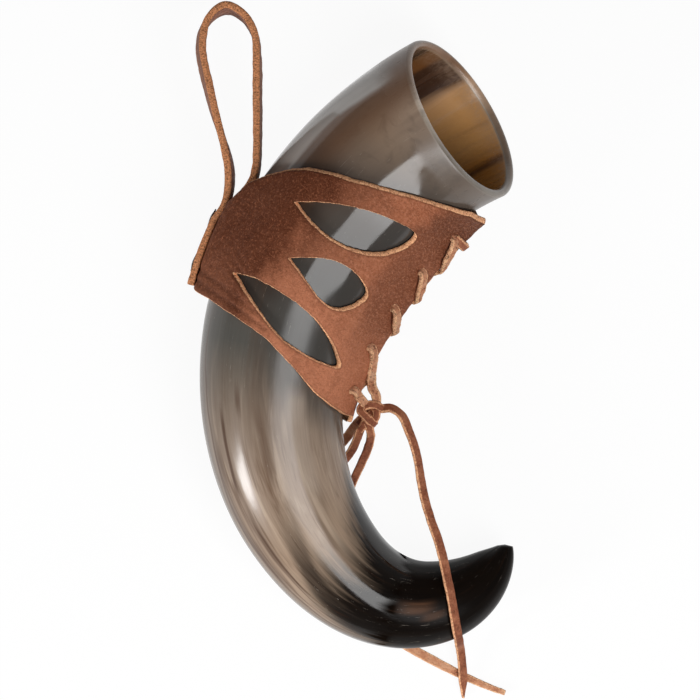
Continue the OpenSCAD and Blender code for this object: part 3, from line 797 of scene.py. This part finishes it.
def build_horn():
    """The horn's outside, rounded rim and bore as one closed skin."""
    sides = 144
    # The rim's crest takes the pale colour of the painted highlight from this distance
    crest = 0.6  # the rim's crest has the colour of this distance from the mouth
    rim = RIM_WALL / 2
    end = HORN_LEN - TIP_CUT
    outer_s = rim + (end - rim) * (1 - (1 - np.linspace(0, 1, 190)) ** 1.2)
    inner_s = rim + (BORE_LEN - 0.3 - rim) * (1 - (1 - np.linspace(0, 1, 90)) ** 1.3)
    rows = [(s, girth(s), 0, s) for s in outer_s[::-1]]
    for g in np.arange(15, 180, 15):
        low = rim - rim * sind(g)
        mark = low + crest * (1 - low / rim) if g <= 90 else -1
        rows.append((low, body_r(rim) - rim + rim * cosd(g), 0, mark))
    rows += [(s, bore_r(s), 1, s) for s in inner_s]
    s, rho, inside, along = (np.repeat(column, sides) for column in zip(*rows))
    around = np.tile(np.arange(sides) * 360 / sides, len(rows))
    along = np.where(along < 0, crest * smooth(share(sind(around), -0.3, 0.3)), along)
    grain = np.stack([30 * cosd(around), 30 * sind(around), s], axis=1)
    wavy = 0.16 * fractal(grain * (1, 1, 0.2), 9, 2, 1) + 0.22 * fractal(grain * (1, 1, 0.5), 26, 2, 2) - 0.1
    rho = rho + np.where(inside == 0, wavy * share(s, 0, 14), 0.8 * wavy)
    rho = rho * (1 - 0.22 * share(s, end - 9, end) ** 2 * (0.5 + 0.5 * cosd(around)) ** 2)
    onward = np.array([cosd(HEADINGS[-1]), sind(HEADINGS[-1]), 0])
    slant = 1.2 * share(s, end - 16, end) ** 2 * -cosd(around)
    verts = on_ring(s, around, rho) + slant[:, None] * onward
    verts = np.concatenate([verts, [centre(end) + 0.6 * onward, centre(BORE_LEN)]])
    faces = tube_faces(len(rows), sides)
    fields = {
        "along": np.concatenate([along, [HORN_LEN, BORE_LEN]]),
        "turn": np.concatenate([np.abs((around + 180) % 360 - 180) / 180, [0.5, 0.5]]),
        "grain": np.concatenate([grain, [[0, 0, HORN_LEN], [0, 0, BORE_LEN]]]),
    }
    bore = np.concatenate([inside, [0, 1]])
    which = [int(bore[list(f)].min() > 0) for f in faces]
    obj = make_piece("horn_body", verts, faces, fields, [HORN_OUT, HORN_IN], which)
    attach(obj, "horn")
    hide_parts("horn")


build_horn()


# Leather wrap

def wrap_rho(s, phi, lay):
    """Distance of the wrap from the horn's axis, lay above its inner face."""
    a = np.abs(phi)
    alpha = seam_angle(s)
    r = body_r(s) + wrap_gap(s) + lay
    front = np.where(a < alpha, r / cosd(alpha - np.minimum(a, alpha)), r)
    psi = np.minimum(180 - a, BACK_SLOPE)
    flat = (body_r(s) + BACK_OFF + lay) / cosd(psi)
    slope = r / cosd(BACK_SLOPE - psi)
    soft = 0.7
    back = -soft * np.log(np.exp(-(flat - r) / soft) + np.exp(-(slope - r) / soft)) + r
    return np.where(180 - a < BACK_SLOPE, np.maximum(back, r), front)


def wrap_edge(phi, seam, back, table):
    """A cut edge from the seam to the back; the far side's is lower beside the seam."""
    drop = np.where(phi < 0, FAR_DROP * smooth(share(-phi, 55, 20)), 0)
    return seam + (back - seam) * np.interp(np.abs(phi), *zip(*table)) + drop


def wrap_top(phi):
    return wrap_edge(phi, SEAM_TOP, BACK_TOP, TOP_EDGE)


def wrap_bottom(phi):
    return wrap_edge(phi, SEAM_BOTTOM, BACK_BOTTOM, BOTTOM_EDGE)


def angle_of(t):
    """The angle round the horn, from -180 to 180, of a place on the flat cut."""
    phi = np.asarray(t) / FLAT
    return np.where(phi > 180, phi - 360, phi)


def flat_place(phi):
    return np.where(phi < 0, phi + 360, phi) * FLAT


def laid_round(t, s, lay):
    """A place of the flat cut, lay above the leather's inner face, round the horn."""
    phi = angle_of(t)
    return on_ring(s, phi, wrap_rho(s, phi, lay))


def wrap_loops():
    """Outlines of the flat cut: the outer edge, the windows and the lace holes on both sides."""
    t = np.linspace(SLIT * FLAT, (360 - SLIT) * FLAT, 300)
    wander = 0.35 * fractal(np.stack([t, 0 * t, 0 * t], 1), 9, 3, 4)
    top = np.stack([t, wrap_top(angle_of(t)) + wander], 1)
    bottom = np.stack([t, wrap_bottom(angle_of(t)) + wander[::-1]], 1)
    outer = np.concatenate([top, bottom[::-1]])
    loops = [spaced(np.concatenate([outer, outer[:1]]), 0.9)[:-1]]
    for window in WINDOWS:
        q = spaced(curve((*window, window[0]), 10), 0.8)[:-1]
        flat = np.column_stack([q, 0 * q[:, 0]])
        q = q + 0.22 * np.stack([fractal(flat, 2.2, 3, 11), fractal(flat, 2.2, 3, 12)], 1)
        phi = np.degrees(np.arccos(np.clip(q[:, 1] / (body_r(q[:, 0]) + RIDE), -1, 1)))
        for _ in range(6):
            phi = np.degrees(np.arccos(np.clip(q[:, 1] / wrap_rho(q[:, 0], phi, WRAP_T), -1, 1)))
        for side in (1, -1):
            loops.append(np.stack([flat_place(side * phi), q[:, 0]], 1))
    g = np.arange(18) * 20
    for i in range(HOLE_COUNT):
        s = HOLE_FIRST + HOLE_PITCH * i
        a = seam_angle(s)
        x, z = seam_d(s) - HOLE_INSET * sind(a), HOLE_INSET * cosd(a)
        phi, reach = np.degrees(np.arctan2(z, x)), np.hypot(x, z)
        for side in (1, -1):
            across = flat_place(side * phi) + HOLE_R * cosd(g) * FLAT / np.radians(reach)
            loops.append(np.stack([across, s + HOLE_R * sind(g)], 1))
    return loops


def winding(loop):
    """1 or -1: the way round that an outline goes."""
    ahead = np.roll(loop, -1, 0)
    return np.sign((loop[:, 0] * ahead[:, 1] - ahead[:, 0] * loop[:, 1]).sum())


def inset(loop, by, inward):
    """The outline moved into the leather."""
    along = unit(np.roll(loop, -1, 0) - np.roll(loop, 1, 0))
    out = np.stack([-along[:, 1], along[:, 0]], 1)
    return loop + out * by * winding(loop) * (1 if inward else -1)


def inside_loop(points, loop):
    """Which points lie inside a closed outline."""
    x, y = points[:, :1], points[:, 1:]
    a, b = loop, np.roll(loop, -1, 0)
    crosses = (a[:, 1] > y) != (b[:, 1] > y)
    rise = np.where(b[:, 1] == a[:, 1], 1e-9, b[:, 1] - a[:, 1])
    return (crosses & (x < a[:, 0] + (y - a[:, 1]) / rise * (b[:, 0] - a[:, 0]))).sum(1) % 2 == 1


def in_leather(points, loops):
    """Which points lie inside the outer edge and outside every window and hole."""
    keep = inside_loop(points, loops[0])
    for hole in loops[1:]:
        keep &= ~inside_loop(points, hole)
    return keep


def cut_flat(loops, rings):
    """Points and triangles of the flat cut, and the point there of each point of its outlines."""
    outlines = loops + rings
    edges = np.concatenate(outlines)
    tree = KDTree(len(edges))
    for i, p in enumerate(edges):
        tree.insert((*p, 0), i)
    tree.balance()
    low, high = loops[0].min(0), loops[0].max(0)
    xs, ys = np.arange(low[0], high[0], PITCH), np.arange(low[1], high[1], PITCH * 0.866)
    fill = np.array([(x + 0.5 * PITCH * (j % 2), y) for j, y in enumerate(ys) for x in xs])
    fill = fill[in_leather(fill, loops)]
    fill = fill[[tree.find((*p, 0))[2] > CLEAR for p in fill]]
    bounds, count = [], 0
    for loop in outlines:
        n = len(loop)
        bounds += [(count + i, count + (i + 1) % n) for i in range(n)]
        count += n
    points = [Vector(p) for p in np.concatenate([edges, fill])]
    flat, _, faces, origin, _, _ = delaunay_2d_cdt(points, bounds, [], 0, 1e-5)
    flat, faces = np.array([tuple(p) for p in flat]), np.array(faces)
    faces = faces[in_leather(flat[faces].mean(1), loops)]
    return flat, faces, {i: k for k, ids in enumerate(origin) for i in ids}


def wrap_creases(t, s):
    """Depth, from 0 to 1, of the lines pressed in along the lower edge and the folds at a window's tip."""
    turn = np.abs(angle_of(t))
    edge = wrap_bottom(turn) - s
    pressed = smooth(share(turn, 88, 104)) * (1 - smooth(share(turn, 164, 174)))
    lines = sum(deep * np.exp(-((edge - at) / 0.95) ** 2) for at, deep in ((3.0, 1.0), (6.4, 0.8)))
    tip = np.exp(-(((turn - 132) / 12) ** 2 + ((s - 104) / 7) ** 2))
    return pressed * lines + 0.9 * tip * np.maximum(0, np.sin((s + 0.25 * turn) * 1.9)) ** 2


def wrap_relief(t, s):
    """Height of the leather's waves and creases, on the flat cut."""
    place = np.stack([t, s, 0 * s], 1)
    return 0.30 * fractal(place, 16, 3, 5) + 0.12 * fractal(place, 4, 3, 6) - 0.7 * wrap_creases(t, s)


def edge_lean(index, loops, n):
    """Shift of the leather's underside at its cut edges, which are cut at a slant, on the flat cut."""
    lean = np.zeros((n, 2))
    start = 0
    for k, loop in enumerate(loops):
        ids = [index[start + i] for i in range(len(loop))]
        side = np.where(angle_of(loop[:, 0]) > 0, 1.0, -1.0)
        top_edge = loop[:, 1] < wrap_top(angle_of(loop[:, 0])) + 2
        slant = np.where(top_edge, 1.7, 1.0) if k <= 2 * len(WINDOWS) else np.zeros(len(loop))
        lean[ids] = np.stack([0.8 * side * slant * (k > 0), -slant], 1)
        start += len(loop)
    return lean


def build_wrap():
    """The wrap cut flat with its windows, then laid round the horn, with thickness and rounded raw edges."""
    loops = wrap_loops()
    rings = [inset(loop, EDGE_INSET, k == 0) for k, loop in enumerate(loops)]
    flat, faces, index = cut_flat(loops, rings)
    n, cut = len(flat), sum(len(loop) for loop in loops)
    raw, fall = np.zeros(n), np.zeros(n)
    for i in range(2 * cut):
        raw[index[i]] = 0.62 if i < cut else 0.2
        fall[index[i]] = EDGE_FALL if i < cut else 0.05
    t, s = flat.T
    lay = WRAP_T - fall + wrap_relief(t, s)
    lean = edge_lean(index, loops, n)
    verts = [laid_round(t, s, lay), laid_round(*(flat + lean).T, 0.0)]
    raws = [raw, np.full(n, 0.5)]
    grains = [np.stack([t, s, lay], 1), np.stack([t, s, 0 * s], 1)]
    a, b, c = (flat[faces[:, k]] for k in range(3))
    turned = np.cross(b - a, c - a) > 0
    tops = np.where(turned[:, None], faces, faces[:, ::-1])
    all_faces = [*tops, *(tops[:, ::-1] + n)]
    total, start = 2 * n, 0
    for k, loop in enumerate(loops):
        m = len(loop)
        ids = np.array([index[start + i] for i in range(m)])
        out = inset(loop, -EDGE_BULGE, k == 0) - loop
        rows = [ids]
        for level, bulge in ((0.72, 0.8), (0.42, 1.0), (0.14, 0.6)):
            q = loop + out * bulge + lean[ids] * (1 - level)
            lay_q = (WRAP_T - EDGE_FALL) * level + 0.1
            verts.append(laid_round(*q.T, lay_q))
            raws.append(np.full(m, 1.0))
            grains.append(np.column_stack([q, np.full(m, lay_q)]))
            rows.append(total + np.arange(m))
            total += m
        rows.append(ids + n)
        flip = (winding(loop) > 0) == (k == 0)
        for p, q in zip(rows, rows[1:]):
            quads = np.stack([p, q, np.roll(q, -1), np.roll(p, -1)], 1)
            all_faces += [*(quads if flip else quads[:, ::-1])]
        start += m
    all_faces = [tuple(f.tolist()) for f in all_faces]
    verts, raws, grains = np.concatenate(verts), np.concatenate(raws), np.concatenate(grains)
    wear = 0.24 * fractal(grains, 1.4, 3, 7) * share(raws, 0.5, 1)
    verts = verts + surface_normals(verts, all_faces) * wear[:, None]
    fields = {"raw": raws, "grain": grains, "crease": wrap_creases(grains[:, 0], grains[:, 1])}
    obj = make_piece("wrap", verts, all_faces, fields, [WRAP_LEATHER])
    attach(obj, "holder")
    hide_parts("leather_wrap")


build_wrap()


# Strap with its belt loop, in one length

def build_strap():
    """The strap from the outer leg's end up round the loop and down to the inner leg's end."""
    outer_leg = on_back(np.linspace(LEG_END, OUTER_TOP, 8), OUTER_LEG_OFF)
    inner_leg = on_back(np.linspace(INNER_TOP, LEG_END, 11), INNER_LEG_OFF)
    loop = [(*at, LOOP_Z) for at in LOOP_ROUTE]
    path = spaced(curve(np.concatenate([outer_leg, loop, inner_leg]), 10), 0.8)
    run = run_along(path)
    twist = np.interp(run, *STRAP_TWIST)
    for _ in range(12):
        twist[1:-1] = (twist[:-2] + twist[1:-1] + twist[2:]) / 3
    side = np.cross(unit(np.gradient(path, axis=0)), UP)
    across = cosd(twist)[:, None] * UP + sind(twist)[:, None] * side
    width = STRAP_W - 4 * (1 - share(run, 0, 2.5)) - 4 * (1 - share(run[-1] - run, 0, 2.5))
    verts, faces, fields = strip(path, across, width, STRAP_T, 0.6, 0.2, 5)
    obj = make_piece("strap", verts, faces, fields, [STRAP_LEATHER])
    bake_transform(obj)
    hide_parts("strap_outer_leg", "strap_inner_leg", "belt_loop")


build_strap()


# Rivets

def rivet_part(s, profile, seed):
    """A turned part square to the strap at s, from (radius, height above the horn) pairs, slightly uneven."""
    along = unit(on_back(s + 1, BACK_OFF) - on_back(s - 1, BACK_OFF))
    out = np.cross(UP, along)
    out = unit(out * np.sign((out * -in_dir(s)).sum()))
    side = np.cross(out, UP)
    sides = 28
    g = np.arange(sides) * 360 / sides
    circle = cosd(g)[:, None] * side + sind(g)[:, None] * UP
    verts = np.concatenate([on_back(s, 0) + h * out + r * circle for r, h in profile])
    faces = grid_faces(len(profile), sides)
    faces.append(tuple(range(sides))[::-1])
    faces.append(tuple(range((len(profile) - 1) * sides, len(profile) * sides)))
    grain = verts + 30 * seed
    verts = verts + out * (0.06 * fractal(grain, 1.8, 2, seed))[:, None]
    return verts, faces, {"grain": grain}


def dome(r, low, high, upward):
    """Profile of a rivet head with a rounded shoulder."""
    rows = [(r - 0.15, low), (r, low + 0.2 * (high - low)), (r - 0.12, low + 0.45 * (high - low))]
    rows += [(r * f, low + (high - low) * (1 - f ** 2.4)) for f in (0.9, 0.75, 0.55, 0.32, 0.1)]
    return rows if upward else [(a, low + high - b) for a, b in rows][::-1]


def build_rivets():
    """The heads with their posts, outside the strap, and the caps inside it."""
    head = RIVET_HEAD_D / 2
    post = [(POST_R, h) for h in (HORN_GAP + RIVET_HEAD_T, 5.0, HEAD_OFF - 0.2)]
    outer = post + dome(head, HEAD_OFF, HEAD_OFF + 0.9, True)
    inner = dome(head, HORN_GAP, HORN_GAP + RIVET_HEAD_T, False)
    tops = [rivet_part(s, outer, k) for k, s in enumerate(RIVET_AT)]
    caps = [rivet_part(s, inner, k + 5) for k, s in enumerate(RIVET_AT)]
    for name, parts, node in (("rivet_heads", tops, "rivet_posts"), ("rivet_backs", caps, "rivet_caps")):
        verts, faces, fields = joined(parts)
        obj = make_piece(name, verts, faces, fields, [RIVET_METAL])
        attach(obj, "holder")
        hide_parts(node)


build_rivets()


# Lacing and knot

def lace(path, outs, seed, width, thick, taper=EVEN):
    """A fixed run of lace through points, flat against what faces outs; taper has places and shares."""
    fine = spaced(curve(path, 8), 0.6)
    at = np.linspace(0, 1, len(path))
    way = np.linspace(0, 1, len(fine))
    out = unit(np.stack([np.interp(way, at, column) for column in np.asarray(outs, float).T], 1))
    across = np.cross(out, unit(np.gradient(fine, axis=0)))
    slim = np.interp(way, *taper)
    return strip(fine, -across, width * slim, thick * slim, 1.0, 0.3, seed, 0, (0, 0))


def laid(rows):
    """Points over the panels, from rows as panel takes them, and the ways that the leather faces there."""
    return [panel(*row) for row in rows], [panel_out(s, side) for s, e, h, side in rows]


def over_seam(near, far, crest, above):
    """The same for a run that goes over the seam's edge at crest, between its near and far rows."""
    path, outs = laid(near + far)
    path.insert(len(near), centre(crest) + (seam_d(crest) + above) * in_dir(crest))
    outs.insert(len(near), in_dir(crest))
    return path, outs


def strand(start, run, end, seed):
    """A whip stitch: out of a near hole, slanting down to the seam, over it and into the next far hole."""
    near = [
        (0, *INTO_HOLE), (0.02, *BY_HOLE), (0.2, 8.2, LACE_LIFT + 0.5), (0.45, 6.0, LACE_LIFT + 0.6),
        (0.7, 3.8, LACE_LIFT + 0.1), (0.88, 1.8, 1.0),
    ]
    near = [(start + run * v, e, h, 1) for v, e, h in near]
    far = [(start + run * v, e, h, -1) for v, e, h in ((1.16, 1.6, 0.8), (1.28, 4.2, 1.0))]
    far += [(end - 0.4, *BY_HOLE, -1), (end + 0.3, *INTO_HOLE, -1)]
    path, outs = over_seam(near, far, start + run * 1.03, 0.5)
    return lace(path, outs, seed, 4.0, 2.4, ((0, 0.35, 0.62, 1), (1, 1, 0.62, 0.8)))


def strand_end(crest, end, seed):
    """A stitch's run on the far side, from the seam to a hole."""
    first, places = 1.5, (0, 0.3, 0.6, 0.9)
    rows = [(crest + (end - crest) * v, first + (HOLE_INSET - first) * v, LACE_LIFT, -1) for v in places]
    rows.append((end + 0.4, *INTO_HOLE, -1))
    return lace(*laid(rows), seed, 3.8, 2.1)


def build_lacing():
    """The stitches, the two runs to the knot, the run into the last far hole and the bar over the seam."""
    holes = [HOLE_FIRST + HOLE_PITCH * i for i in range(HOLE_COUNT)]
    fourth, fifth = holes[3:]
    runs = 17.5, 14.5, 12.5
    upper = [strand(a, run, b, 10 + i) for i, (a, run, b) in enumerate(zip(holes, runs, holes[1:]))]
    path = [panel(fourth - 0.3, HOLE_INSET + 0.4, -1.8, 1), panel(fourth + 0.6, HOLE_INSET - 0.6, 1.2, 1)]
    outs = [panel_out(fourth, 1)] * 2 + [UP + 0.6 * in_dir(fourth)] * 3 + [UP] * 4
    upper.append(lace([*path, *FOURTH_RUN], outs, 14, 4.0, 2.5))
    path = [panel(fifth - 0.3, HOLE_INSET + 0.4, -1.8, 1), panel(fifth + 0.4, HOLE_INSET - 0.4, 1.3, 1)]
    outs = [panel_out(fifth, 1)] * 2 + [UP] * 3
    upper.append(lace([*path, *FIFTH_RUN], outs, 15, 4.0, 2.1))
    lower = [strand_end(fourth + 19.5, fifth, 24)]
    s, e = HOLE_FIRST - 1, HOLE_INSET
    near = [(s + 0.8, e, 0.2, 1), (s + 0.4, e - 2.0, LACE_LIFT + 0.3, 1), (s, 4.0, LACE_LIFT + 0.5, 1)]
    far = [(s, 4.0, LACE_LIFT, -1), (s + 0.4, e - 2.0, LACE_LIFT, -1), (s + 0.8, e, 0.2, -1)]
    bar = [lace(*over_seam(near, far, s, 0.6), 30, 4.2, 2.4)]
    pieces = (
        ("lacing_upper", upper, "lacing_near", LACE_FLESH), ("lacing_lower", lower, "lacing_far", LACE_FLESH),
        ("lacing_over_seam", bar, "lacing_bar", LACE_LEATHER),
    )
    for name, parts, node, material in pieces:
        verts, faces, fields = joined(parts)
        obj = make_piece(name, verts, faces, fields, [material])
        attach(obj, "holder")
        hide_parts(node)


def build_knot():
    """The knot: runs of lace that cross each other, each from under one run to over the next."""
    parts = [lace(run, [UP] * len(run), 40 + k, 3.5, 2.1) for k, run in enumerate(KNOT_RUNS)]
    verts, faces, fields = joined(parts)
    fields["raw"] = 0.8 * fields["raw"]
    obj = make_piece("knot", verts, faces, fields, [LACE_LEATHER])
    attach(obj, "holder")
    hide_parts("lace_knot")


build_lacing()
build_knot()


# Floor, light and view

def build_floor():
    """A pale floor: it shows as white, in reflections too, and keeps some of the object's shadow."""
    size, level, whiten = 3.0, -0.0003, 0.93
    mesh = bpy.data.meshes.new("floor")
    corners = [(-size, -size), (size, -size), (size, size), (-size, size)]
    mesh.from_pydata([(x, y, level) for x, y in corners], [], [(0, 1, 2, 3)])
    m = Shader("floor")
    away = m.node("VectorMath", {0: m.node("NewGeometry", {}, "Position")}, "Value", operation="LENGTH")
    near = m.step(away, 0.36, 0.26)
    rays = m.tree.nodes.new("ShaderNodeLightPath").outputs
    seen = m.calc("MAXIMUM", rays["Is Camera Ray"], rays["Is Glossy Ray"], rays["Is Transmission Ray"])
    paint = m.node("BsdfDiffuse", {"Color": m.mix(near, shown(120, 120, 120), shown(244, 244, 244))})
    glow = m.node("Emission", {"Color": (1, 1, 1, 1), "Strength": 1.0})
    m.show(m.node("MixShader", {0: m.times(seen, whiten), 1: paint, 2: glow}))
    mesh.materials.append(m.owner)
    floor = linked("floor", mesh)


def build_world():
    """Dim surroundings, a little brighter near the horizon than overhead."""
    m = Shader("studio", world=True)
    height = m.node("SeparateXYZ", {0: m.node("TexCoord", {}, "Generated")}, "Z")
    grey = m.ramp(height, [(0.05, (0.26, 0.26, 0.26, 1)), (0.7, (0.09, 0.09, 0.09, 1))])
    m.show(m.node("Background", {"Color": grey}))
    bpy.context.scene.world = m.owner


def softbox(name, at, aim, wide, high, radiance, spin=0.0):
    """A rectangular lamp, with the brightness that its face shows, spun about its own axis in degrees."""
    lamp = bpy.data.lights.new(name, "AREA")
    lamp.shape = "RECTANGLE"
    lamp.size, lamp.size_y, lamp.energy = wide, high, radiance * np.pi * wide * high
    obj = linked(name, lamp)
    obj.location = at
    turned = (Vector(aim) - Vector(at)).to_track_quat("-Z", "Y") @ Quaternion((0, 0, 1), np.radians(spin))
    obj.rotation_euler = turned.to_euler()


build_floor()
build_world()
softbox("softbox_above", (0.74, -0.84, 1.20), (0.74, -0.84, 0), 1.75, 0.62, 7.3, -49)
softbox("lamp_left", (-0.84, -0.56, 0.40), (-0.04, -0.06, 0.054), 0.15, 0.32, 46)
bpy.context.scene.view_settings.view_transform = "Standard"
